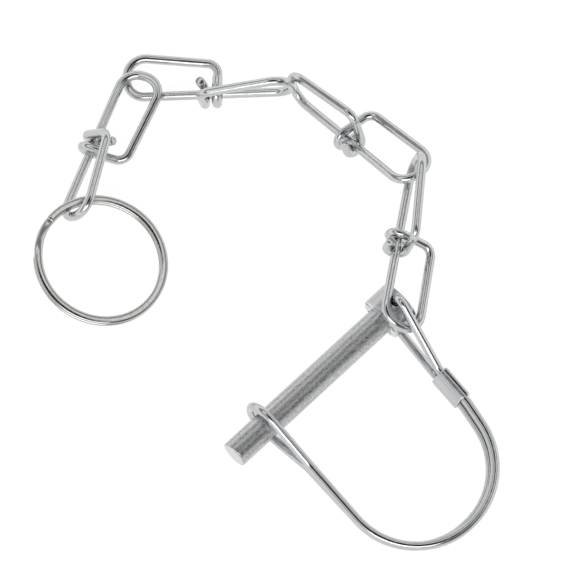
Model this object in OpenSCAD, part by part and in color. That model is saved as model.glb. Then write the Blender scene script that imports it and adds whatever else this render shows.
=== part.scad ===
// Locking hitch pin: a headed pin held by a sprung wire bow, on a short
// knotted chain with a split ring. The pin lies along X with its shoulder
// at the origin and its tip at +X; the bow is on the +Y side.

/* [Pin] */
// Diameter of the shaft
shaft_d = 6.35; // [5:0.05:8]
// Length of the shaft from the shoulder to the tip
shaft_len = 46.5; // [44:0.5:60]
// Diameter of the head
head_d = 10.6; // [9.5:0.1:12.5]
// Length of the head
head_len = 6.2; // [5.6:0.1:9]
// Edge break on the tip and the head
edge_break = 0.4; // [0.2:0.05:0.7]
// Distance of the cross hole behind the shoulder
hole_back = 4.2; // [3.6:0.1:4.4]
// Width of the staking marks on the shoulder
stake_w = 0.8; // [0.4:0.1:1.1]
// Depth of the staking marks
stake_depth = 0.35; // [0.1:0.05:0.6]

/* [Bow] */
// Diameter of the bow's spring wire
bow_wire_d = 2.1; // [1.8:0.05:2.5]
// Distance of the eye from the shoulder
eye_x = 36; // [33:0.5:40]
// Free space between the eye and the shaft
eye_room = 0.9; // [0.7:0.05:1.4]
// Distance from the pin's axis to where the eye's strands meet
eye_reach = 13.5; // [11:0.5:16]
// Distance from the pin's axis to the far side of the bow
bow_reach = 48; // [44:0.5:56]
// Radius of the bow's large bend on the eye side
bow_bend_r = 17.2; // [12:0.1:20]
// Straight wire between the bow's two large bends, or beside the one on the ferrule side
bow_flat = 0.5; // [0.2:0.1:3]
// Outward lean of the bow's run on the eye side
eye_run_lean = 3.8; // [0:0.1:6]
// Outward lean of the bow's run on the ferrule side
ferrule_run_lean = 11; // [6:0.5:18]
// Radius of the bend where the eye's strands meet
meet_bend_r = 6; // [4:0.5:9]
// Radius of the bend on the bow side of the ferrule
ferrule_bend_r = 12; // [8:0.5:14]
// Radius of the bend on the head side of the ferrule
leg_bend_r = 4; // [3:0.1:6]
// Radius of the hook's bend over the head
hook_bend_r = 1.9; // [1.6:0.1:2.3]
// Height of the hook's corner above the head
hook_rise = 3.8; // [3.5:0.1:4.6]
// Gap between the wire's two ends inside the cross hole
end_gap = 2.4; // [1:0.1:5]
// Angle by which the bow dips to the floor
bow_dip = 7; // [5:0.5:9]

/* [Ferrule] */
// Length of the ferrule
ferrule_len = 8; // [6:0.5:10]
// Thickness of the ferrule's sheet
ferrule_wall = 0.55; // [0.4:0.05:0.8]
// Width of the open seam
seam_w = 0.7; // [0.4:0.05:1.2]
// Distance from the pin's axis to the ferrule's near end
ferrule_y = 18.2; // [16.5:0.1:20]
// Distance from the shoulder to the ferrule's near end, along the pin
ferrule_x = -1; // [-2:0.1:0]
// Straight wire past each end of the ferrule
ferrule_lead = 1; // [0.9:0.1:2]
// Angle of the ferrule to the cross direction
ferrule_lean = 4; // [0:0.5:8]

/* [Chain] */
// Diameter of the chain wire
chain_wire_d = 2.1; // [1.8:0.05:2.3]
// Length of one link, outside
link_len = 41; // [38:0.5:46]
// Width of a loop between its strands' centres
loop_w = 9.6; // [9.2:0.1:11]
// Width of a loop at the knot between its strands' centres
knot_w = 7.8; // [7:0.1:9.6]
// Radius of the bends at a loop's end
loop_bend_r = 4.2; // [3:0.1:4.4]
// Radius of the bend where a strand turns into the knot
knot_bend_r = 2.6; // [2:0.1:3.2]
// Length of a cut end past the wire that it is hooked round
tail_len = 2.6; // [1:0.1:3.5]
// Step along the link between the strands of a hooked end
hook_shift = 0.3; // [0.1:0.05:0.5]

/* [Ring] */
// Outside diameter of the split ring
ring_d = 31; // [29:0.5:34]
// Width of the ring's band, seen face on
ring_band = 1.9; // [1.5:0.05:2.2]
// Thickness of one of the ring's two turns
turn_t = 1; // [0.8:0.05:1.1]
// Edge break on the ring's strip
strip_edge = 0.2; // [0.1:0.05:0.3]
// Part of the round on which the strip slopes from one turn to the other
slope_angle = 30; // [24:1:40]
// Gap between the slope and each end of the strip, in degrees of the round
end_angle = 3; // [1:0.5:6]
// Place of the slope, round from the ring's own X
split_at = 145; // [0:5:355]

/* [Clearances] */
// Room round a wire end in the cross hole
hole_room = 0.05; // [0.02:0.01:0.1]
// Room between wires that lie side by side
wire_room = 0.08; // [0.05:0.01:0.15]
// Room where one link hangs in another
hang_room = 0.2; // [0.15:0.01:0.3]

/* [Lay of the chain] */
// Where link 4 lies on the head, from the shoulder, and on its own spine, from its near end
lay_4_at = [-1.8, 3.95]; // [-4:0.05:8]
// Turning of link 4 about X, Y and Z
lay_4_turn = [104.5, 5, -144.5]; // [-180:0.5:180]
// Twist of link 4 between its two loops
twist_4 = 109; // [-180:1:180]
// Where link 3 hangs on link 4's end and on its own end, from their middles
lay_3_at = [-1.2, 2.7]; // [-6:0.1:6]
// Turning of link 3 about X, Y and Z
lay_3_turn = [92.5, 20.5, -93.5]; // [-180:0.5:180]
// Twist of link 3 between its two loops
twist_3 = 91; // [-180:1:180]
// Where link 2 hangs on link 3's end and on its own end, from their middles
lay_2_at = [0.8, -3.9]; // [-6:0.1:6]
// Turning of link 2 about X, Y and Z
lay_2_turn = [174, 10.5, -47]; // [-180:0.5:180]
// Twist of link 2 between its two loops
twist_2 = -90; // [-180:1:180]
// Where link 1 hangs on link 2's end and on its own end, from their middles
lay_1_at = [-1, -4.6]; // [-6:0.1:6]
// Turning of link 1 about X, Y and Z
lay_1_turn = [51.5, 0.5, 23.5]; // [-180:0.5:180]
// Twist of link 1 between its two loops
twist_1 = -43; // [-180:1:180]
// Where the ring hangs on link 1's end, from its middle
lay_ring_at = -1; // [-3:0.1:3]
// Place on the ring that hangs there, round from the ring's own X
lay_ring_round = 120; // [0:1:360]
// Turning of the ring about X, Y and Z
lay_ring_turn = [2.5, 13.5, 138.5]; // [-180:0.5:180]

/* [Hidden] */
$fn = 48;
X = [1, 0, 0];
Y = [0, 1, 0];
Z = [0, 0, 1];
SHAFT_GREY = [0.56, 0.56, 0.55];
BRIGHT_ZINC = [0.80, 0.81, 0.82];
// Half the distance between the bow's two wires where they lie one over the other
pair_z = (bow_wire_d + wire_room) / 2;
// Radius of the eye, and distance of a hooked end from the wire in its middle
eye_r = shaft_d / 2 + eye_room + bow_wire_d / 2;
wrap_r = chain_wire_d + wire_room;
// Distance of a link's end wires from the link's middle
link_reach = (link_len - chain_wire_d) / 2;
// Radius of the ball that strikes a staking mark
stake_r = (stake_w * stake_w / 4 + stake_depth * stake_depth) / (2 * stake_depth);
// How far a straight run of wire reaches into a bend, and how much thinner it is
run_seat = 0.1;
run_step = 0.02;
// Share of the radius that would leave no straight run in the eye, and in a hooked end
eye_share = 0.97;
hook_share = 0.98;
// Steps along the link at a cut end
tail_steps = 2.6;
// Radius of the ring's middle, and the reach of its edges from there
ring_r = (ring_d - ring_band) / 2;
ring_reach = norm([ring_band, 2 * turn_t + wire_room]) / 2 - strip_edge;
// How far each turn of the ring reaches into the slope, in degrees of the round
slope_seat = 0.5;

// Directions and turnings

function unit(v) = v / norm(v);
function backwards(v) = [for (i = [len(v) - 1:-1:0]) v[i]];
function about_x(a) = [[1, 0, 0], [0, cos(a), -sin(a)], [0, sin(a), cos(a)]];
function about_y(a) = [[cos(a), 0, sin(a)], [0, 1, 0], [-sin(a), 0, cos(a)]];
function about_z(a) = [[cos(a), -sin(a), 0], [sin(a), cos(a), 0], [0, 0, 1]];
function turning(t) = about_z(t[2]) * about_y(t[1]) * about_x(t[0]);
function placing(m, p) = [[m[0][0], m[0][1], m[0][2], p[0]],
                          [m[1][0], m[1][1], m[1][2], p[1]],
                          [m[2][0], m[2][1], m[2][2], p[2]]];

// A wire bent at the corner points p with the radii r, one for each inner corner

function heading(p, i) = unit(p[i + 1] - p[i]);
function bend_angle(p, i) = acos(heading(p, i - 1) * heading(p, i));
function bend_axis(p, i) = unit(cross(heading(p, i - 1), heading(p, i)));
function setback(p, r, i) = i == 0 || i == len(p) - 1 ? 0 : r[i - 1] * tan(bend_angle(p, i) / 2);
function run_len(p, r, i) = norm(p[i + 1] - p[i]) - setback(p, r, i) - setback(p, r, i + 1);
function roll(p, i) =
    i == 1 ? 0 : atan2(cross(bend_axis(p, i - 1), bend_axis(p, i)) * heading(p, i - 1),
                       bend_axis(p, i - 1) * bend_axis(p, i));

// The rest of the wire from corner i on: it runs along Z and bends towards X.
// A straight run is a little thinner than the bends and reaches into them.
module run_on(p, r, d, i) {
    h = run_len(p, r, i);
    low = i == 0 ? 0 : run_seat;
    high = i == len(p) - 2 ? 0 : run_seat;
    translate([0, 0, -low]) cylinder(d = d - run_step, h = low + h + high);
    if (i < len(p) - 2) {
        a = bend_angle(p, i + 1);
        translate([0, 0, h]) rotate([0, 0, roll(p, i + 1)]) translate([r[i], 0, 0]) {
            rotate([90, 0, 0]) rotate_extrude(angle = a, start = 180 - a)
                translate([r[i], 0]) circle(d = d);
            rotate([0, a, 0]) translate([-r[i], 0, 0]) run_on(p, r, d, i + 1);
        }
    }
}

module bent_wire(p, r, d) {
    z = heading(p, 0);
    y = bend_axis(p, 1);
    x = cross(y, z);
    multmatrix(placing([[x[0], y[0], z[0]], [x[1], y[1], z[1]], [x[2], y[2], z[2]]], p[0]))
        run_on(p, r, d, 0);
}

// Pin: the headed shaft, with the cross hole for the bow's ends

module pin() {
    color(SHAFT_GREY) difference() {
        rotate([0, 90, 0]) rotate_extrude() polygon([
            [0, -head_len], [head_d / 2 - edge_break, -head_len], [head_d / 2, edge_break - head_len],
            [head_d / 2, -edge_break], [head_d / 2 - edge_break, 0], [shaft_d / 2, 0],
            [shaft_d / 2, shaft_len - edge_break], [shaft_d / 2 - edge_break, shaft_len],
            [0, shaft_len]]);
        rotate([-bow_dip, 0, 0]) translate([-hole_back, 0, -head_d])
            cylinder(d = bow_wire_d + 2 * hole_room, h = 2 * head_d);
        for (a = [45:90:315])
            rotate([a, 0, 0]) translate([stake_r - stake_depth, (shaft_d + head_d) / 4, 0])
                sphere(r = stake_r);
    }
}

// Bow: one wire from the hole over the head, past the ferrule, round the bow
// and round the shaft as an eye, and back the same way underneath

ferrule_dir = [sin(ferrule_lean), cos(ferrule_lean), 0];
ferrule_near = [ferrule_x, ferrule_y, 0];
ferrule_far = ferrule_near + ferrule_len * ferrule_dir;
bow_far_y = bow_reach - ferrule_far[1];
far_eye = [eye_x + (bow_reach - eye_reach) * tan(eye_run_lean), bow_reach, 0];
far_ferrule = ferrule_far + [bow_far_y * tan(ferrule_run_lean), bow_far_y, 0];

// The large bend on the ferrule side is as round as the wire beside it allows
bend_lean = abs(ferrule_run_lean - ferrule_lean);
far_room = norm(far_eye - far_ferrule) - bow_flat - bow_bend_r * tan(45 + eye_run_lean / 2);
run_room = norm(far_ferrule - ferrule_far) - ferrule_lead - bow_flat - ferrule_bend_r * tan(bend_lean / 2);
far_bend_r = min(far_room, run_room) / tan(45 - ferrule_run_lean / 2);

// Height of the eye's corners, from which the strands pass the shaft with the eye's room
eye_corner_z = pair_z + (eye_reach + eye_r)
    * tan(asin(eye_r / norm([eye_reach, pair_z])) - atan(pair_z / eye_reach));
// Corner points from the eye to the upper end, or mirrored to the lower end
function bow_half(side) = [
    [eye_x, -eye_r, side * eye_corner_z],
    [eye_x, eye_reach, side * pair_z],
    far_eye + side * pair_z * Z,
    far_ferrule + side * pair_z * Z,
    ferrule_far + ferrule_lead * ferrule_dir + side * pair_z * Z,
    ferrule_near - ferrule_lead * ferrule_dir + side * pair_z * Z,
    [-hole_back, 0, side * (head_d / 2 + hook_rise)],
    [-hole_back, 0, side * end_gap / 2]];
bow_radii = [eye_share * eye_r, meet_bend_r, bow_bend_r, far_bend_r, ferrule_bend_r, leg_bend_r, hook_bend_r];

module bow_wire() {
    color(BRIGHT_ZINC) rotate([-bow_dip, 0, 0])
        bent_wire(concat(backwards(bow_half(-1)), bow_half(1)),
                  concat(backwards(bow_radii), bow_radii), bow_wire_d);
}

// Ferrule: a sheet collar closed round the two wires, its open seam on top

module pair_outline(grow) {
    w = bow_wire_d + 2 * grow;
    translate([-w / 2, -pair_z]) square([w, 2 * pair_z]);
    for (s = [-1, 1]) translate([0, s * pair_z]) circle(d = w);
}

module ferrule() {
    color(BRIGHT_ZINC) rotate([-bow_dip, 0, 0]) translate(ferrule_near) rotate([-90, 0, -ferrule_lean])
        linear_extrude(ferrule_len) difference() {
            pair_outline(wire_room + ferrule_wall);
            pair_outline(wire_room);
            translate([-seam_w / 2, -3 * bow_wire_d]) square([seam_w, 2 * bow_wire_d]);
        }
}

// Chain link: one wire bent to a loop at each end, both ends hooked round its
// straight middle; the loops are twisted to each other about that middle

function side_dir(side, twist) = side > 0 ? Y : [0, cos(twist), sin(twist)];
function spot(side, u, x, a, b) = side * x * X + a * u + b * cross(side * X, u);
function half_link(side, u) = [
    spot(side, u, link_reach, 0, 0),
    spot(side, u, link_reach, loop_w, 0),
    spot(side, u, -wrap_r / 2, knot_w, wrap_r),
    spot(side, u, -wrap_r / 2 - hook_shift, -wrap_r, wrap_r),
    spot(side, u, -wrap_r / 2 - 2 * hook_shift, -wrap_r, -wrap_r),
    spot(side, u, -wrap_r / 2 - tail_steps * hook_shift, tail_len + chain_wire_d / 2, -wrap_r)];
half_radii = [loop_bend_r, loop_bend_r, knot_bend_r, hook_share * wrap_r, hook_share * wrap_r];

module link(twist, at) {
    color(BRIGHT_ZINC) multmatrix(at)
        bent_wire(concat(backwards(half_link(-1, side_dir(-1, twist))), half_link(1, side_dir(1, twist))),
                  concat(backwards(half_radii), half_radii), chain_wire_d);
}

// Hanging: each link's end wire rests against the one before it. A place s on
// an end wire is counted along the wire from the middle of the link's end.

taper = atan(norm([loop_w - knot_w, wrap_r]) / (link_reach + wrap_r / 2));
function end_flat(s) = loop_w / 2 - loop_bend_r * (s < 0 ? 1 : tan(45 + taper / 2));
function bend_at(s) = sign(s) * max(abs(s) - end_flat(s), 0) / loop_bend_r * 180 / PI;
function end_spot(s) = [
    link_reach - loop_bend_r * (1 - cos(bend_at(s))),
    loop_w / 2 + sign(s) * (min(abs(s), end_flat(s)) + loop_bend_r * sin(abs(bend_at(s))))];
function on_link(side, twist, v) = v[0] * side * X + v[1] * side_dir(side, twist);
function place_on(side, twist, s) = on_link(side, twist, end_spot(s));
function along(side, twist, s) = on_link(side, twist, [-sin(bend_at(s)), cos(bend_at(s))]);
function inward(side, twist, s) = on_link(side, twist, [-cos(bend_at(s)), -sin(bend_at(s))]);
function across(t1, t2, n) = let (c = unit(cross(t1, t2))) c * n < 0 ? -c : c;

function link_4_spot() =
    let (m = turning(lay_4_turn), n = across(X, m * X, Z))
    lay_4_at[0] * X + head_d / 2 * Z + (chain_wire_d / 2 + hang_room) * n
    + (link_reach - lay_4_at[1]) * (m * X);
function hung(m, spot, twist, at, turn, own_twist) =
    let (k = turning(turn),
         n = across(m * along(1, twist, at[0]), k * along(-1, own_twist, at[1]), m * inward(1, twist, at[0])))
    spot + m * place_on(1, twist, at[0]) + (chain_wire_d + hang_room) * n
    - k * place_on(-1, own_twist, at[1]);
spot_4 = link_4_spot();
spot_3 = hung(turning(lay_4_turn), spot_4, twist_4, lay_3_at, lay_3_turn, twist_3);
spot_2 = hung(turning(lay_3_turn), spot_3, twist_3, lay_2_at, lay_2_turn, twist_2);
spot_1 = hung(turning(lay_2_turn), spot_2, twist_2, lay_1_at, lay_1_turn, twist_1);
function ring_spot() =
    let (m = turning(lay_1_turn), k = turning(lay_ring_turn), round = about_z(lay_ring_round),
         n = across(m * along(1, twist_1, lay_ring_at), k * round * Y, m * inward(1, twist_1, lay_ring_at)))
    spot_1 + m * place_on(1, twist_1, lay_ring_at) + (chain_wire_d / 2 + ring_reach + hang_room) * n
    - ring_r * (k * round * X);

module chain_link_4() {
    link(twist_4, placing(turning(lay_4_turn), spot_4));
}

module chain_link_3() {
    link(twist_3, placing(turning(lay_3_turn), spot_3));
}

module chain_link_2() {
    link(twist_2, placing(turning(lay_2_turn), spot_2));
}

module chain_link_1() {
    link(twist_1, placing(turning(lay_1_turn), spot_1));
}

// Split ring: a flat strip coiled twice, with a short slope from the lower
// turn to the upper one

module strip(start, angle) {
    e = strip_edge;
    w = ring_band / 2;
    t = turn_t / 2;
    rotate_extrude(start = start, angle = angle, $fn = 96) translate([ring_r, 0])
        polygon([[-w, e - t], [e - w, -t], [w - e, -t], [w, e - t],
                 [w, t - e], [w - e, t], [e - w, t], [-w, t - e]]);
}

module split_ring() {
    rise = turn_t + wire_room;
    turn_angle = 360 - slope_angle - end_angle + slope_seat;
    slope = asin(rise / (2 * ring_r * sin(slope_angle / 2)));
    color(BRIGHT_ZINC) multmatrix(placing(turning(lay_ring_turn), ring_spot())) rotate([0, 0, split_at]) {
        translate([0, 0, -rise / 2]) strip(slope_angle / 2 + end_angle, turn_angle);
        translate([0, 0, rise / 2]) strip(slope_angle / 2 - slope_seat, turn_angle);
        rotate([slope, 0, 0]) strip(-slope_angle / 2, slope_angle);
    }
}

pin();
bow_wire();
ferrule();
chain_link_4();
chain_link_3();
chain_link_2();
chain_link_1();
split_ring();
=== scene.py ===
"""Locking hitch pin: a headed steel pin locked by a sprung wire bow, on a knotted
wire chain with a split ring, lying on a white light table in soft studio light."""

import bmesh
import bpy
import numpy as np
from mathutils import Matrix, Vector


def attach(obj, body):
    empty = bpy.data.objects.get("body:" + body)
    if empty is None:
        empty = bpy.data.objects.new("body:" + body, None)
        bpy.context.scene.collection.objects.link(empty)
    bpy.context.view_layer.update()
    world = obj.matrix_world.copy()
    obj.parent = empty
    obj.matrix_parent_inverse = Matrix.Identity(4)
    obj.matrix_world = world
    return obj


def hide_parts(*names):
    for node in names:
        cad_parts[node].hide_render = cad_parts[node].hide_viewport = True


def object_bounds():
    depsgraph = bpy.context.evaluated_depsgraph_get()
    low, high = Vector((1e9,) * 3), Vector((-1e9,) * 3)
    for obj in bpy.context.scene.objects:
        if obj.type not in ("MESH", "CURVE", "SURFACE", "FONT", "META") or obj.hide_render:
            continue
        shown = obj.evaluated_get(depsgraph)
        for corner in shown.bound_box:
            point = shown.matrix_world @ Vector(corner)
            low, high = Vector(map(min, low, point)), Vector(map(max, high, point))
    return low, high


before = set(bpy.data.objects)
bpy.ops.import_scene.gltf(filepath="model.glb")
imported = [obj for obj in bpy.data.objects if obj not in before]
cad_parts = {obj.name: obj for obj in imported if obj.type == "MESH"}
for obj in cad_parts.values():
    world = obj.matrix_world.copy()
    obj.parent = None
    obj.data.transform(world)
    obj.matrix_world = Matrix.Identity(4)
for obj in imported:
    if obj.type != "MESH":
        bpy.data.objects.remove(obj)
cad_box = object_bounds()
mm = 0.001


# Pin. A turned and headed steel pin, dull zinc plated. The head is drilled
# across for the ends of the bow, and its shoulder is staked round the shaft.

shaft_r = 3.175 * mm
shaft_len = 46.5 * mm
head_r = 5.3 * mm
head_len = 6.2 * mm
edge_break = 0.4 * mm
shoulder_fillet = 0.1 * mm
centre_r = 0.3 * mm
hole_back = 4.2 * mm
hole_r = 1.16 * mm
hole_edge = 0.12 * mm
hole_floor = 1.1 * mm
bow_dip = np.radians(7)
stake_depth = 0.45 * mm
stake_steep = 2.5
stake_long = 2
shoulder_near = 0.05 * mm
shade_sharp = 8
hair = 0.001 * mm


def unit(v):
    """The vectors of v at length 1."""
    return v / np.linalg.norm(v, axis=-1, keepdims=True)


def linear(hex_colour):
    """An sRGB hex colour as linear RGBA."""
    c = np.array([int(hex_colour[i:i + 2], 16) for i in (1, 3, 5)]) / 255
    c = np.where(c <= 0.04045, c / 12.92, ((c + 0.055) / 1.055) ** 2.4)
    return (*c.tolist(), 1.0)


def skin(name, grid, attribute=None, ends=True):
    """A closed skin over a grid of rings, points along x points round: quads
    between the rings, and a fan to the middle of the first and the last ring.
    The attribute is a vector for each point: its place on the raw stock, or the
    zones of the surface that it lies in."""
    along, round_, _ = grid.shape
    i = np.arange(along * round_).reshape(along, round_)
    j = np.roll(i, -1, 1)
    points = grid.reshape(-1, 3)
    faces = np.stack([i[:-1], j[:-1], j[1:], i[1:]], -1).reshape(-1, 4).tolist()
    if ends:
        points = np.vstack([points, grid[0].mean(0), grid[-1].mean(0)])
        n = along * round_
        faces += np.stack([j[0], i[0], np.full(round_, n)], -1).tolist()
        faces += np.stack([i[-1], j[-1], np.full(round_, n + 1)], -1).tolist()
        if attribute is not None:
            attribute = np.vstack([attribute.reshape(-1, 3), attribute[0].mean(0), attribute[-1].mean(0)])
    mesh = bpy.data.meshes.new(name)
    mesh.from_pydata(points.tolist(), [], faces)
    if attribute is not None:
        surface = mesh.attributes.new("surface", "FLOAT_VECTOR", "POINT")
        surface.data.foreach_set("vector", attribute.reshape(-1).astype(np.float32))
    work = bmesh.new()
    work.from_mesh(mesh)
    bmesh.ops.remove_doubles(work, verts=work.verts, dist=0.0001 * mm)
    bmesh.ops.recalc_face_normals(work, faces=work.faces)
    work.to_mesh(mesh)
    work.free()
    mesh.polygons.foreach_set("use_smooth", np.ones(len(mesh.polygons), bool))
    piece = bpy.data.objects.new(name, mesh)
    bpy.context.scene.collection.objects.link(piece)
    return piece


def node(tree, kind, inputs=(), **settings):
    """Adds a node with its settings. An input is a value, or another node's output.
    It goes by its name, or by its number where the node has several of that name."""
    made = tree.nodes.new(kind)
    for key, value in settings.items():
        setattr(made, key, value)
    for key, value in dict(inputs).items():
        if isinstance(value, bpy.types.NodeSocket):
            tree.links.new(value, made.inputs[key])
        else:
            made.inputs[key].default_value = value
    return made


def lathe(profile, steps):
    """Turns a profile of (x, radius) points about the X axis: rings of points
    at x, radius cos t, radius sin t for t all the way round."""
    t = np.linspace(0, 2 * np.pi, steps, endpoint=False)
    x, r = profile[:, :1], profile[:, 1:]
    return np.stack([x + 0 * t, r * np.cos(t), r * np.sin(t)], -1)


def stretch(a, b, n):
    """n points from a towards b, without b."""
    return np.linspace(a, b, n, endpoint=False)


def rounded(corner, a, b, n=6):
    """A fillet between points a and b on the two sides of a corner: for t from 0 to 1,
    a by (1 - t) squared, the corner by twice t (1 - t), and b by t squared."""
    t = np.linspace(0, 1, n, endpoint=False)[:, None]
    return (1 - t) ** 2 * np.array(a) + 2 * t * (1 - t) * np.array(corner) + t ** 2 * np.array(b)


e, f = edge_break, shoulder_fillet
pin_profile = np.vstack([
    stretch((-head_len, centre_r), (-head_len, head_r - e), n=12),
    rounded((-head_len, head_r), (-head_len, head_r - e), (e - head_len, head_r)),
    stretch((e - head_len, head_r), (-e, head_r), n=70),
    rounded((0, head_r), (-e, head_r), (0, head_r - e)),
    stretch((0, head_r - e), (0, shaft_r + f), n=30),
    rounded((0, shaft_r), (0, shaft_r + f), (f, shaft_r), n=4),
    stretch((f, shaft_r), (shaft_len - e, shaft_r), n=60),
    rounded((shaft_len, shaft_r), (shaft_len - e, shaft_r), (shaft_len, shaft_r - e)),
    stretch((shaft_len, shaft_r - e), (shaft_len, centre_r), n=12)])
pin_grid = lathe(pin_profile, steps=320)

# the cross hole is a well sunk into the head along the hole's line, from above and
# from below, each to a little short of the middle
hole_line = np.array([0, np.sin(bow_dip), np.cos(bow_dip)])
from_hole = pin_grid - np.array([-hole_back, 0, 0])
up = from_hole @ hole_line
off_line = np.linalg.norm(from_hole - up[..., None] * hole_line, axis=-1)
sunk = np.clip((hole_r + hole_edge - off_line) / hole_edge, 0, 1) * (np.abs(up) > head_r / 2)
pin_grid = pin_grid + (np.sign(up) * sunk * (hole_floor - np.abs(up)))[..., None] * hole_line

# a staking mark is a steep dent in the shoulder, longer towards the rim than across.
# Each has its turn round the shaft in degrees, its share of the way from the shaft to
# the rim, and its half width in mm
stakes = ((8, 0.4, 0.34), (20, 0.3, 0.28), (31, 0.4, 0.36), (44, 0.3, 0.28),
          (53, 0.42, 0.38), (66, 0.3, 0.3), (75, 0.4, 0.34), (88, 0.28, 0.26),
          (163, 0.5, 0.34), (205, 0.35, 0.3), (262, 0.4, 0.34), (318, 0.3, 0.3))
from_axis = np.hypot(pin_grid[..., 1], pin_grid[..., 2])
round_axis = np.arctan2(pin_grid[..., 2], pin_grid[..., 1])
# the hole's well and the staking dents are masked here for painted shade, near black in the material
shaded_recess = np.clip(shade_sharp * sunk, 0, 1)
for turn, share, size in stakes:
    half_w = size * mm
    stake_r = shaft_r + share * (head_r - shaft_r)
    sideways = from_axis * np.sin(round_axis - np.radians(turn)) / half_w
    outwards = (from_axis * np.cos(round_axis - np.radians(turn)) - stake_r) / (stake_long * half_w)
    on_shoulder = np.abs(pin_grid[..., 0]) < shoulder_near
    dent = np.clip(stake_steep * (1 - np.hypot(sideways, outwards)), 0, 1) * on_shoulder
    pin_grid[..., 0] = np.where(dent > 0, -stake_depth * dent, pin_grid[..., 0])
    shaded_recess = np.maximum(shaded_recess, np.clip(shade_sharp * dent, 0, 1))

# zones for the material: the head, the faces across the axis, and the recesses, which get painted shade
x, r = pin_profile.T
headed = x < hair
shoulder = (np.abs(x) < hair) & (r > shaft_r)
faced = (x < hair - head_len) | shoulder | (x > shaft_len - hair)
zones = np.stack([headed[:, None] + 0 * shaded_recess, faced[:, None] + 0 * shaded_recess, shaded_recess], -1)
pin = skin("pin_body", pin_grid, zones)


def dull_zinc():
    """Dull zinc plate on turned steel: a grey, slightly grainy metal on the shaft,
    with streaks along the bar. The head is brighter from the die, the faces across
    the axis are bright from the cut, and the hole and the staking marks are painted
    near black as shade. Real grains are finer: these are as coarse as they need to be to show."""
    grain_w, streak_w, streak_len = 0.45 * mm, 0.625 * mm, 16.67 * mm
    grey, pale = "#a0a1a2", "#d4d5d6"
    # the recess colour is painted shade, near black, for the hole and the staking marks
    head, faces, recess_shade = "#c2c3c4", "#d8d9da", "#1c1c1c"
    material = bpy.data.materials.new("dull zinc plate on turned steel")
    material.use_nodes = True
    tree = material.node_tree
    shader = tree.nodes["Principled BSDF"]
    place = node(tree, "ShaderNodeTexCoord").outputs["Object"]
    grain = node(tree, "ShaderNodeTexNoise", {"Vector": place, "Scale": 1 / grain_w, "Detail": 3.0})
    drawn = node(tree, "ShaderNodeMapping", {"Vector": place,
                                             "Scale": (1 / streak_len, 1 / streak_w, 1 / streak_w)})
    streak = node(tree, "ShaderNodeTexNoise", {"Vector": drawn.outputs["Vector"],
                                               "Scale": 1.0, "Detail": 4.0})
    mixed = node(tree, "ShaderNodeMix", {"Factor": 0.35, "A": grain.outputs["Fac"],
                                         "B": streak.outputs["Fac"]})
    tone = node(tree, "ShaderNodeValToRGB", {"Fac": mixed.outputs["Result"]})
    for element, position, shade in zip(tone.color_ramp.elements, (0.35, 0.65), (grey, pale)):
        element.position, element.color = position, linear(shade)
    colour = tone.outputs["Color"]
    zones = node(tree, "ShaderNodeAttribute", attribute_name="surface").outputs["Vector"]
    zones = node(tree, "ShaderNodeSeparateXYZ", {"Vector": zones}).outputs
    for zone, shade in zip("XYZ", (head, faces, recess_shade)):
        over = node(tree, "ShaderNodeMix", {0: zones[zone], 6: colour, 7: linear(shade)}, data_type="RGBA")
        colour = over.outputs[2]
    gloss = node(tree, "ShaderNodeMapRange", {"Value": grain.outputs["Fac"],
                                              "From Min": 0.3, "From Max": 0.7,
                                              "To Min": 0.26, "To Max": 0.4})
    bump = node(tree, "ShaderNodeBump", {"Height": mixed.outputs["Result"],
                                         "Strength": 0.2, "Distance": 0.03 * mm})
    tree.links.new(colour, shader.inputs["Base Color"])
    tree.links.new(gloss.outputs["Result"], shader.inputs["Roughness"])
    tree.links.new(bump.outputs["Normal"], shader.inputs["Normal"])
    shader.inputs["Metallic"].default_value = 1.0
    return material


pin.data.materials.append(dull_zinc())
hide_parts("pin")
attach(pin, "pin")


# Bow. One length of spring wire, bright zinc plated. From the cross hole it
# goes over the head, through the ferrule as a pair, round the large bow and
# round the shaft as an eye, and back the same way underneath.

bow_wire_d = 2.1 * mm
wire_room = 0.08 * mm
pair_z = (bow_wire_d + wire_room) / 2
pair_turn = np.radians(24)
eye_x = 36 * mm
eye_room = 0.9 * mm
eye_r = shaft_r + eye_room + bow_wire_d / 2
eye_share = 0.97
eye_reach = 13.5 * mm
bow_reach = 48 * mm
bow_bend_r = 17.2 * mm
bow_flat = 0.5 * mm
eye_run_lean = np.radians(3.8)
ferrule_run_lean = np.radians(11)
ferrule_bend_r = 12 * mm
meet_bend_r = 6 * mm
leg_bend_r = 4 * mm
hook_bend_r = 1.9 * mm
hook_rise = 3.8 * mm
end_gap = 2.4 * mm
ferrule_near = np.array([-1, 18.2, 0]) * mm
ferrule_len = 8 * mm
ferrule_lead = 1 * mm
ferrule_lean = np.radians(4)
ferrule_dir = np.array([np.sin(ferrule_lean), np.cos(ferrule_lean), 0])
ferrule_far = ferrule_near + ferrule_len * ferrule_dir

# the far side's two corners; the bend on the ferrule side is as round as the runs beside it allow
over = bow_reach - ferrule_far[1]
far_eye = np.array([eye_x + (bow_reach - eye_reach) * np.tan(eye_run_lean), bow_reach, 0])
far_ferrule = ferrule_far + (over * np.tan(ferrule_run_lean), over, 0)
eye_bend = bow_bend_r * np.tan(np.pi / 4 + eye_run_lean / 2)
ferrule_bend = ferrule_bend_r * np.tan(abs(ferrule_run_lean - ferrule_lean) / 2)
far_room = np.linalg.norm(far_eye - far_ferrule) - bow_flat - eye_bend
run_room = np.linalg.norm(far_ferrule - ferrule_far) - ferrule_lead - bow_flat - ferrule_bend
far_bend_r = min(far_room, run_room) / np.tan(np.pi / 4 - ferrule_run_lean / 2)

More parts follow.
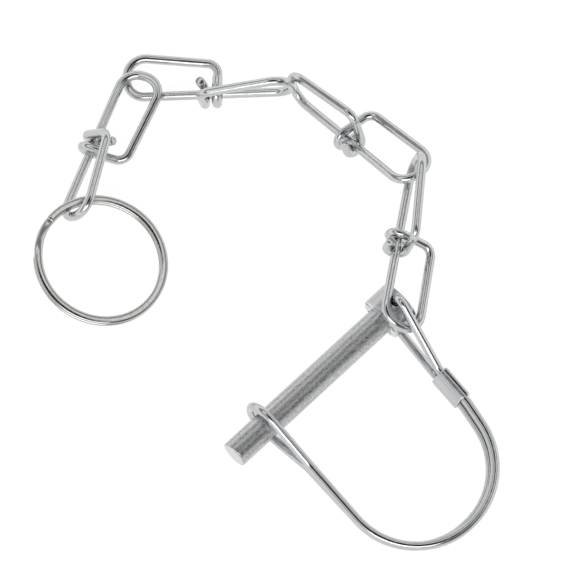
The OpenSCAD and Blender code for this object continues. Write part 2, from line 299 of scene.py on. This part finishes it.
# in the ferrule and round the bow the pair is turned, so that the lower wire lies further in;
# these are the directions into the bow from its ferrule, its runs and its far side
further_in = 2 * pair_z * np.sin(pair_turn)
in_ferrule = np.array([np.cos(ferrule_lean), -np.sin(ferrule_lean), 0])
in_ferrule_run = np.array([np.cos(ferrule_run_lean), -np.sin(ferrule_run_lean), 0])
in_far = np.array([0, -1, 0])
in_eye_run = np.array([-np.cos(eye_run_lean), np.sin(eye_run_lean), 0])


def turned(v, axis, angles):
    """The vector v turned about a unit axis by each of the angles: v by the cosine,
    the cross product with the axis by the sine, and the part of v along the axis
    by what the cosine leaves of 1."""
    a = np.asarray(angles)[..., None]
    return v * np.cos(a) + np.cross(axis, v) * np.sin(a) + axis * (axis @ v) * (1 - np.cos(a))


def bent(corners, radii, bend_step=5):
    """The middle line of a wire bent at corner points, and a side direction that
    is carried along it: straight runs, and in each bend an arc of the corner's
    radius that touches both runs, in steps of bend_step degrees or less. Returns
    the points, sides, directions of run and lengths so far."""
    p = np.array(corners, float)
    run = unit(np.diff(p, axis=0))
    side = unit(np.cross(run[0], run[1]))
    points, sides, runs = [p[:1]], [side[None]], [run[:1]]
    for corner, r, before, after in zip(p[1:-1], radii, run[:-1], run[1:]):
        axis = unit(np.cross(before, after))
        angle = np.arccos(before @ after)
        start = corner - before * r * np.tan(angle / 2)
        arm = -np.cross(axis, before) * r
        steps = np.linspace(0, angle, int(np.degrees(angle) / bend_step) + 3)
        points.append(start - arm + turned(arm, axis, steps))
        sides.append(turned(side, axis, steps))
        runs.append(turned(before, axis, steps))
        side = sides[-1][-1]
    points = np.vstack([*points, p[-1:]])
    sides = np.vstack([*sides, side[None]])
    runs = np.vstack([*runs, run[-1:]])
    lengths = np.r_[0, np.cumsum(np.linalg.norm(np.diff(points, axis=0), axis=1))]
    return points, sides, runs, lengths


def wire(name, corners, radii, d, cut=0.25 * mm, steps=32):
    """A round wire along a bent line: rings of radius d/2 across it, with the
    edges of both cut ends broken. The surface attribute holds the place of each
    point on the straight wire, so that the drawing marks follow the bends."""
    points, sides, runs, s = bent(corners, radii)
    nick = 0.3 * cut
    step = np.array([0, nick, cut])
    first = points[0] + step[:, None] * runs[0]
    last = points[-1] - step[::-1, None] * runs[-1]
    points = np.vstack([first, points[1:-1], last])
    sides = np.vstack([sides[[0, 0, 0]], sides[1:-1], sides[[-1, -1, -1]]])
    runs = np.vstack([runs[[0, 0, 0]], runs[1:-1], runs[[-1, -1, -1]]])
    s = np.r_[s[0] + step, s[1:-1], s[-1] - step[::-1]]
    r = np.full(len(s), d / 2)
    r[[0, -1]] -= cut
    r[[1, -2]] -= nick
    t = np.linspace(0, 2 * np.pi, steps, endpoint=False)
    ring = np.cos(t)[:, None] * sides[:, None] + np.sin(t)[:, None] * np.cross(runs, sides)[:, None]
    grid = points[:, None] + r[:, None, None] * ring
    stock = np.stack([r[:, None] * np.cos(t), r[:, None] * np.sin(t), s[:, None] + 0 * t], -1)
    return skin(name, grid, stock)


def bow_half(side):
    """Corner points from the eye to one end of the wire, above (1) or below (-1).
    A corner of the lower wire lies further in from both runs that meet there: the
    sum of their two directions inwards, over 1 plus the cosine between them."""
    tangent = np.arcsin(eye_r / np.hypot(eye_reach, pair_z)) - np.arctan(pair_z / eye_reach)
    corner_z = pair_z + (eye_reach + eye_r) * np.tan(tangent)
    z = np.array([0, 0, side * pair_z * np.cos(pair_turn)])
    inwards = further_in if side < 0 else 0
    in_far_eye = (in_eye_run + in_far) / (1 + in_eye_run @ in_far)
    in_far_ferrule = (in_far + in_ferrule_run) / (1 + in_far @ in_ferrule_run)
    return [(eye_x, -eye_r, side * corner_z),
            (eye_x, eye_reach, side * pair_z),
            far_eye + inwards * in_far_eye + z,
            far_ferrule + inwards * in_far_ferrule + z,
            ferrule_far + ferrule_lead * ferrule_dir + inwards * in_ferrule + z,
            ferrule_near - ferrule_lead * ferrule_dir + inwards * in_ferrule + z,
            (-hole_back, 0, side * (head_r + hook_rise)),
            (-hole_back, 0, side * end_gap / 2)]


dip = np.array([[1, 0, 0],
                [0, np.cos(bow_dip), np.sin(bow_dip)],
                [0, -np.sin(bow_dip), np.cos(bow_dip)]])
upper_radii = np.array([eye_share * eye_r, meet_bend_r, bow_bend_r, far_bend_r,
                        ferrule_bend_r, leg_bend_r, hook_bend_r])
lower_radii = upper_radii - further_in * np.array([0, 0, 1, 1, 0, 0, 0])
bow_corners = np.array(bow_half(-1)[::-1] + bow_half(1)) @ dip.T
bow = wire("bow_spring", bow_corners, [*lower_radii[::-1], *upper_radii], bow_wire_d)


def bright_plate(name, shades, rough, mark_w=0.25 * mm):
    """Bright plate on drawn or rolled metal: smooth and pale, with faint marks along
    the stock, and clouds in its shape and gloss from the plating bath. Real drawing
    marks are finer: these are as coarse as they need to be to show."""
    mark_len, cloud_w = 50 * mark_w, 1.5 * mm
    material = bpy.data.materials.new(name)
    material.use_nodes = True
    tree = material.node_tree
    shader = tree.nodes["Principled BSDF"]
    place = node(tree, "ShaderNodeAttribute", attribute_name="surface").outputs["Vector"]
    drawn = node(tree, "ShaderNodeMapping", {"Vector": place,
                                             "Scale": (1 / mark_w, 1 / mark_w, 1 / mark_len)})
    marks = node(tree, "ShaderNodeTexNoise", {"Vector": drawn.outputs["Vector"],
                                              "Scale": 1.0, "Detail": 3.0})
    clouds = node(tree, "ShaderNodeTexNoise", {"Vector": place, "Scale": 1 / cloud_w, "Detail": 2.0})
    tone = node(tree, "ShaderNodeValToRGB", {"Fac": marks.outputs["Fac"]})
    for element, position, shade in zip(tone.color_ramp.elements, (0.35, 0.65), shades):
        element.position, element.color = position, linear(shade)
    gloss = node(tree, "ShaderNodeMapRange", {"Value": clouds.outputs["Fac"],
                                              "From Min": 0.3, "From Max": 0.7,
                                              "To Min": rough - 0.05, "To Max": rough + 0.06})
    uneven = node(tree, "ShaderNodeBump", {"Height": clouds.outputs["Fac"],
                                           "Strength": 0.5, "Distance": 0.06 * mm})
    bump = node(tree, "ShaderNodeBump", {"Height": marks.outputs["Fac"],
                                         "Strength": 0.2, "Distance": 0.02 * mm,
                                         "Normal": uneven.outputs["Normal"]})
    tree.links.new(tone.outputs["Color"], shader.inputs["Base Color"])
    tree.links.new(gloss.outputs["Result"], shader.inputs["Roughness"])
    tree.links.new(bump.outputs["Normal"], shader.inputs["Normal"])
    shader.inputs["Metallic"].default_value = 1.0
    return material


wire_zinc = bright_plate("bright zinc plate on spring wire", ("#bcbdbe", "#cbccce"), 0.16)
bow.data.materials.append(wire_zinc)
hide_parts("bow_wire")
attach(bow, "bow")


# Ferrule. A strip of zinc plated sheet, rolled round the two wires and
# pressed shut. Its two edges almost meet in an open seam on top.

ferrule_wall = 0.55 * mm
ferrule_edge = 0.3 * mm
seam_w = 0.7 * mm


def collar(grow, n):
    """Half of the outline round the pair of wires at a distance grow, from the
    seam on top to the bottom: a quarter of the upper round, a straight side and
    a quarter of the lower round. Points are (across, up), n for each stretch."""
    r = bow_wire_d / 2 + grow
    seam = np.arcsin(seam_w / 2 / r)
    upper = np.linspace(seam, np.pi / 2, n)
    lower = np.linspace(np.pi / 2, np.pi, n)
    side = np.linspace(pair_z, -pair_z, n)[1:-1]
    return np.vstack([np.c_[r * np.sin(upper), pair_z + r * np.cos(upper)],
                      np.c_[0 * side + r, side],
                      np.c_[r * np.sin(lower), -pair_z + r * np.cos(lower)]])


def both_sides(half):
    """The half outline and its mirror image, from one edge of the seam to the other."""
    return np.vstack([half, (half * (-1, 1))[-2::-1]])


# along the collar the wall keeps its thickness, and rounds off to nothing at both ends
outer = both_sides(collar(wire_room + ferrule_wall, n=14))
inner = both_sides(collar(wire_room, n=14))
section = np.vstack([outer, inner[::-1]])
middle = np.vstack([(outer + inner) / 2, ((outer + inner) / 2)[::-1]])
ends = ferrule_edge * np.array([0, 1 / 6, 1 / 2, 1])
between = np.linspace(2 * ferrule_edge, ferrule_len - 2 * ferrule_edge, 20)
along = np.r_[ends, between, ferrule_len - ends[::-1]]
edge = np.clip(np.minimum(along, ferrule_len - along) / ferrule_edge, 0, 1)
thin = np.sqrt(1 - (1 - edge) ** 2)
outline = middle + (section - middle) * thin[:, None, None]

# the collar is turned with the pair that it holds
upright = np.array([0, 0, 1])
across = np.cos(pair_turn) * in_ferrule + np.sin(pair_turn) * upright
raised = np.cos(pair_turn) * upright - np.sin(pair_turn) * in_ferrule
ferrule_grid = (ferrule_near + further_in / 2 * in_ferrule + along[:, None, None] * ferrule_dir
                + outline[..., :1] * across + outline[..., 1:] * raised) @ dip.T
sheet = np.concatenate([outline, 0 * outline[..., :1] + along[:, None, None]], -1)
ferrule = skin("ferrule_collar", ferrule_grid, sheet, ends=False)
sheet_zinc = bright_plate("bright zinc plate on rolled sheet", ("#c0c1c2", "#d2d3d4"), 0.34, mark_w=0.4 * mm)
ferrule.data.materials.append(sheet_zinc)
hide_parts("ferrule")
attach(ferrule, "bow")


# Chain. Each link is one length of bright plated wire with a loop at each
# end. Both wire ends are hooked round the link's straight middle and cut off.
# The links lie over each other, each end wire resting against the next one.

chain_wire_d = 2.1 * mm
link_len = 41 * mm
link_reach = (link_len - chain_wire_d) / 2
loop_w = 9.6 * mm
knot_w = 7.8 * mm
loop_bend_r = 4.2 * mm
knot_bend_r = 2.6 * mm
wrap_r = chain_wire_d + wire_room
tail_len = 2.6 * mm
hook_shift = 0.3 * mm
hook_share = 0.98
tail_steps = 2.6
hang_room = 0.2 * mm


def turning(angles):
    """The matrix that turns about X, then Y, then Z by these angles in degrees."""
    (cx, cy, cz), (sx, sy, sz) = np.cos(np.radians(angles)), np.sin(np.radians(angles))
    return (np.array([[cz, -sz, 0], [sz, cz, 0], [0, 0, 1]])
            @ np.array([[cy, 0, sy], [0, 1, 0], [-sy, 0, cy]])
            @ np.array([[1, 0, 0], [0, cx, -sx], [0, sx, cx]]))


def side_dir(end, twist):
    """The direction of a loop's width at the near (-1) or far (1) end of a link."""
    t = np.radians(twist)
    return np.array([0, 1, 0]) if end > 0 else np.array([0, np.cos(t), np.sin(t)])


def half_link(end, twist):
    """Corner points of half a link: out along the middle, round the loop, past
    the knot's middle, round the middle wire and back up as a cut tail."""
    out = np.array([end, 0, 0])
    width = side_dir(end, twist)
    rise = np.cross(out, width)
    spots = [(link_reach, 0, 0),
             (link_reach, loop_w, 0),
             (-wrap_r / 2, knot_w, wrap_r),
             (-wrap_r / 2 - hook_shift, -wrap_r, wrap_r),
             (-wrap_r / 2 - 2 * hook_shift, -wrap_r, -wrap_r),
             (-wrap_r / 2 - tail_steps * hook_shift, tail_len + chain_wire_d / 2, -wrap_r)]
    return [x * out + a * width + b * rise for x, a, b in spots]


half_radii = [loop_bend_r, loop_bend_r, knot_bend_r, hook_share * wrap_r, hook_share * wrap_r]
taper = np.arctan(np.hypot(loop_w - knot_w, wrap_r) / (link_reach + wrap_r / 2))


def end_wire(end, twist, s):
    """A place on the wire across a link's end, at the length s from its middle:
    the point, the wire's direction and the direction into the loop. The wire is
    straight as far as the bends, and then goes round on the bend's circle."""
    flat = loop_w / 2 - loop_bend_r * (1 if s < 0 else np.tan(np.pi / 4 + taper / 2))
    bend = np.sign(s) * max(abs(s) - flat, 0) / loop_bend_r
    spot = [link_reach - loop_bend_r * (1 - np.cos(bend)),
            loop_w / 2 + np.sign(s) * min(abs(s), flat) + loop_bend_r * np.sin(bend)]
    sides = np.stack([np.array([end, 0, 0]), side_dir(end, twist)])
    return (np.array(spot) @ sides,
            np.array([-np.sin(bend), np.cos(bend)]) @ sides,
            np.array([-np.cos(bend), -np.sin(bend)]) @ sides)


def across_both(a, b, towards):
    """The direction square to two wires, on the side of a third direction."""
    n = unit(np.cross(a, b))
    return n if n @ towards > 0 else -n


chain_zinc = bright_plate("bright zinc plate on chain wire", ("#bcbdbe", "#cccdce"), 0.17)

# link 4 lies across the head: its place along the head, and how far its own end reaches past that.
# Each of the others hangs on the one before: its places on that one's end wire and on its own, in mm
# from their middles. Then come the angles about X, Y and Z, and the twist between a link's two loops
lay = {4: ((-1.8, 3.95), (104.5, 5, -144.5), 109),
       3: ((-1.2, 2.7), (92.5, 20.5, -93.5), 91),
       2: ((0.8, -3.9), (174, 10.5, -47), -90),
       1: ((-1, -4.6), (51.5, 0.5, 23.5), -43)}
last_link = None
for number, ((on_last, on_own), angles, twist) in lay.items():
    turn = turning(angles)
    if last_link is None:
        normal = across_both(np.array([1, 0, 0]), turn[:, 0], upright)
        place = (np.array([on_last * mm, 0, head_r]) + (chain_wire_d / 2 + hang_room) * normal
                 + (link_reach - on_own * mm) * turn[:, 0])
    else:
        last_turn, last_place, last_twist = last_link
        spot, run, inward = (last_turn @ v for v in end_wire(1, last_twist, on_last * mm))
        own_spot, own_run, _ = (turn @ v for v in end_wire(-1, twist, on_own * mm))
        normal = across_both(run, own_run, inward)
        place = last_place + spot + (chain_wire_d + hang_room) * normal - own_spot
    corners = np.array(half_link(-1, twist)[::-1] + half_link(1, twist)) @ turn.T + place
    link = wire(f"link_{number}_wire", corners, half_radii[::-1] + half_radii, chain_wire_d)
    link.data.materials.append(chain_zinc)
    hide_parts(f"chain_link_{number}")
    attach(link, f"link_{number}")
    last_link = turn, place, twist


# Split ring. A strip of spring steel with rounded edges, coiled twice, nickel
# plated and bright. It slopes from the lower turn to the upper one, and its two
# ends lie on either side of that slope.

ring_d = 31 * mm
ring_band = 1.9 * mm
ring_r = (ring_d - ring_band) / 2
turn_t = 1 * mm
strip_edge = 0.2 * mm
band_power = 0.85
turn_power = 0.9
end_share = 0.75
slope_angle = 30
end_angle = 3
split_at = 160
ring_on_link = -1 * mm
ring_round = np.radians(120)
ring_turn = turning((2.5, 13.5, 138.5))

ring_reach = np.hypot(ring_band, 2 * turn_t + wire_room) / 2 - strip_edge
last_turn, last_place, last_twist = last_link
spot, run, inward = (last_turn @ v for v in end_wire(1, last_twist, ring_on_link))
radial = ring_turn @ np.array([np.cos(ring_round), np.sin(ring_round), 0])
ring_run = ring_turn @ np.array([-np.sin(ring_round), np.cos(ring_round), 0])
normal = across_both(run, ring_run, inward)
ring_place = last_place + spot + (chain_wire_d / 2 + ring_reach + hang_room) * normal - ring_r * radial

# going round twice, the strip's middle rises by one thickness on the slope
coil = np.linspace(slope_angle / 2 + end_angle, 720 - slope_angle / 2 - end_angle, 480)
climb = np.clip((coil - 360) / slope_angle + 0.5, 0, 1)
height = (turn_t + wire_room) * (3 * climb ** 2 - 2 * climb ** 3 - 0.5)

# the strip's section is an oval, squared a little: the cosine and the sine of the way round,
# each to a power below 1
t = np.linspace(0, 2 * np.pi, 36, endpoint=False)
strip = np.stack([ring_band / 2 * np.abs(np.cos(t)) ** band_power * np.sign(np.cos(t)),
                  turn_t / 2 * np.abs(np.sin(t)) ** turn_power * np.sign(np.sin(t))], -1)
shrink = np.ones(len(coil))
shrink[[0, -1]] = end_share
angle = np.radians(coil + split_at)[:, None]
strip_r = ring_r + shrink[:, None] * strip[:, 0]
strip_z = height[:, None] + shrink[:, None] * strip[:, 1]
ring_grid = np.stack([strip_r * np.cos(angle), strip_r * np.sin(angle), strip_z], -1)
ring_grid = ring_grid @ ring_turn.T + ring_place
stock = np.stack([0 * angle + strip[:, 0], 0 * angle + strip[:, 1], ring_r * angle + 0 * strip[:, 0]], -1)
ring = skin("ring_coil", ring_grid, stock)
strip_nickel = bright_plate("bright nickel plate on spring strip", ("#b4b3b1", "#c8c7c5"), 0.14)
ring.data.materials.append(strip_nickel)
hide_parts("split_ring")
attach(ring, "ring")


# Studio. A white light table that runs out of sight, inside a tent of pale cloth
# with one soft lamp in front. The cloth has an opening for the camera, which the
# plated wires show as thin dark lines, and a dark card stands on the bow's side.

look_angle = np.radians(67.5)
heading = np.radians(44.75)
away = np.array([-np.sin(heading), -np.cos(heading), 0])
target = np.array([9.4, -20.2, 0]) * mm
frame_w = 129.6 * mm
camera_far = 3
sensor_w = 36
lamp_angle = np.radians(42)
lamp_far = 0.9
lamp_w = 0.9
lamp_h = 0.32
lamp_power = 2.4
gap_angle = np.radians(84)
card_angle = np.radians(36)
card_from = np.radians(38)
card_full = np.radians(18)
cloth_level = 1.2
card_level = 0.3
clear_share = 0.9
floor_r = 3
floor_z = cad_box[0][2]

corners = floor_r * np.array([(-1, -1), (1, -1), (1, 1), (-1, 1)])
floor_mesh = bpy.data.meshes.new("floor")
floor_mesh.from_pydata([(x, y, floor_z) for x, y in corners], [], [(0, 1, 2, 3)])
floor = bpy.data.objects.new("floor", floor_mesh)
bpy.context.scene.collection.objects.link(floor)


def white_sheet():
    """Matt white sheet on a light table. Where it is seen directly, or in metal or
    glass, most of it lets the white of the table through, which also shows what
    hangs below it at a pose. The rest keeps the object's shadow."""
    material = bpy.data.materials.new("matt white sheet on a light table")
    material.use_nodes = True
    tree = material.node_tree
    tree.nodes.clear()
    ray = node(tree, "ShaderNodeLightPath").outputs
    seen = ray["Is Camera Ray"]
    for other in (ray["Is Glossy Ray"], ray["Is Transmission Ray"]):
        seen = node(tree, "ShaderNodeMath", {0: seen, 1: other}, operation="MAXIMUM").outputs[0]
    share = node(tree, "ShaderNodeMath", {0: seen, 1: clear_share}, operation="MULTIPLY").outputs[0]
    board = node(tree, "ShaderNodeBsdfDiffuse", {"Color": linear("#fafafa")}).outputs[0]
    clear = node(tree, "ShaderNodeBsdfTransparent").outputs[0]
    both = node(tree, "ShaderNodeMixShader", {0: share, 1: board, 2: clear}).outputs[0]
    node(tree, "ShaderNodeOutputMaterial", {"Surface": both})
    return material


def to_front(angle):
    """The direction to the camera's side, at an angle above the floor."""
    return np.sin(angle) * upright - np.cos(angle) * away


floor.data.materials.append(white_sheet())

# the tent: its brightness by the angle from the middle of the opening, in degrees
opening = ((90, 0.88), (80, 1.0), (68, 0.95), (56, 0.25), (44, 0.3), (36, 1.1), (30, 0.9), (20, 0.02))
world = bpy.data.worlds.new("studio")
world.use_nodes = True
bpy.context.scene.world = world
tree = world.node_tree
tree.nodes.clear()
look = node(tree, "ShaderNodeTexCoord").outputs["Generated"]
gap_dir = to_front(gap_angle).tolist()
at_gap = node(tree, "ShaderNodeVectorMath", {0: look, 1: gap_dir}, operation="DOT_PRODUCT")
tent = node(tree, "ShaderNodeValToRGB", {"Fac": at_gap.outputs["Value"]})
while len(tent.color_ramp.elements) < len(opening):
    tent.color_ramp.elements.new(1.0)
for element, (degrees, level) in zip(tent.color_ramp.elements, opening):
    element.position, element.color = np.cos(np.radians(degrees)), (level, level, level, 1)
card_dir = (0, np.cos(card_angle), np.sin(card_angle))
at_card = node(tree, "ShaderNodeVectorMath", {0: look, 1: card_dir}, operation="DOT_PRODUCT")
shade = node(tree, "ShaderNodeMapRange", {"Value": at_card.outputs["Value"],
                                          "From Min": np.cos(card_from), "From Max": np.cos(card_full),
                                          "To Min": cloth_level, "To Max": card_level})
cloth = node(tree, "ShaderNodeBackground", {"Color": tent.outputs["Color"],
                                            "Strength": shade.outputs["Result"]}).outputs[0]
node(tree, "ShaderNodeOutputWorld", {"Surface": cloth})


def aim(thing, place, at):
    """Puts a lamp or camera at a place and turns it to look at a point, upright."""
    back = unit(np.array(place) - at)
    right = unit(np.cross(upright, back))
    matrix = np.eye(4)
    matrix[:3, :3] = np.stack([right, np.cross(back, right), back], 1)
    matrix[:3, 3] = place
    thing.matrix_world = Matrix(matrix.tolist())


lamp_data = bpy.data.lights.new("softbox", "AREA")
lamp_data.shape = "RECTANGLE"
lamp_data.size, lamp_data.size_y = lamp_w, lamp_h
lamp_data.energy = lamp_power
lamp = bpy.data.objects.new("softbox", lamp_data)
bpy.context.scene.collection.objects.link(lamp)
aim(lamp, target + lamp_far * to_front(lamp_angle), target)

camera_data = bpy.data.cameras.new("camera")
camera_data.sensor_width = sensor_w
camera_data.lens = sensor_w * camera_far / frame_w
camera = bpy.data.objects.new("camera", camera_data)
bpy.context.scene.collection.objects.link(camera)
aim(camera, target + camera_far * to_front(look_angle), target)
bpy.context.scene.camera = camera
bpy.context.scene.view_settings.view_transform = "Standard"
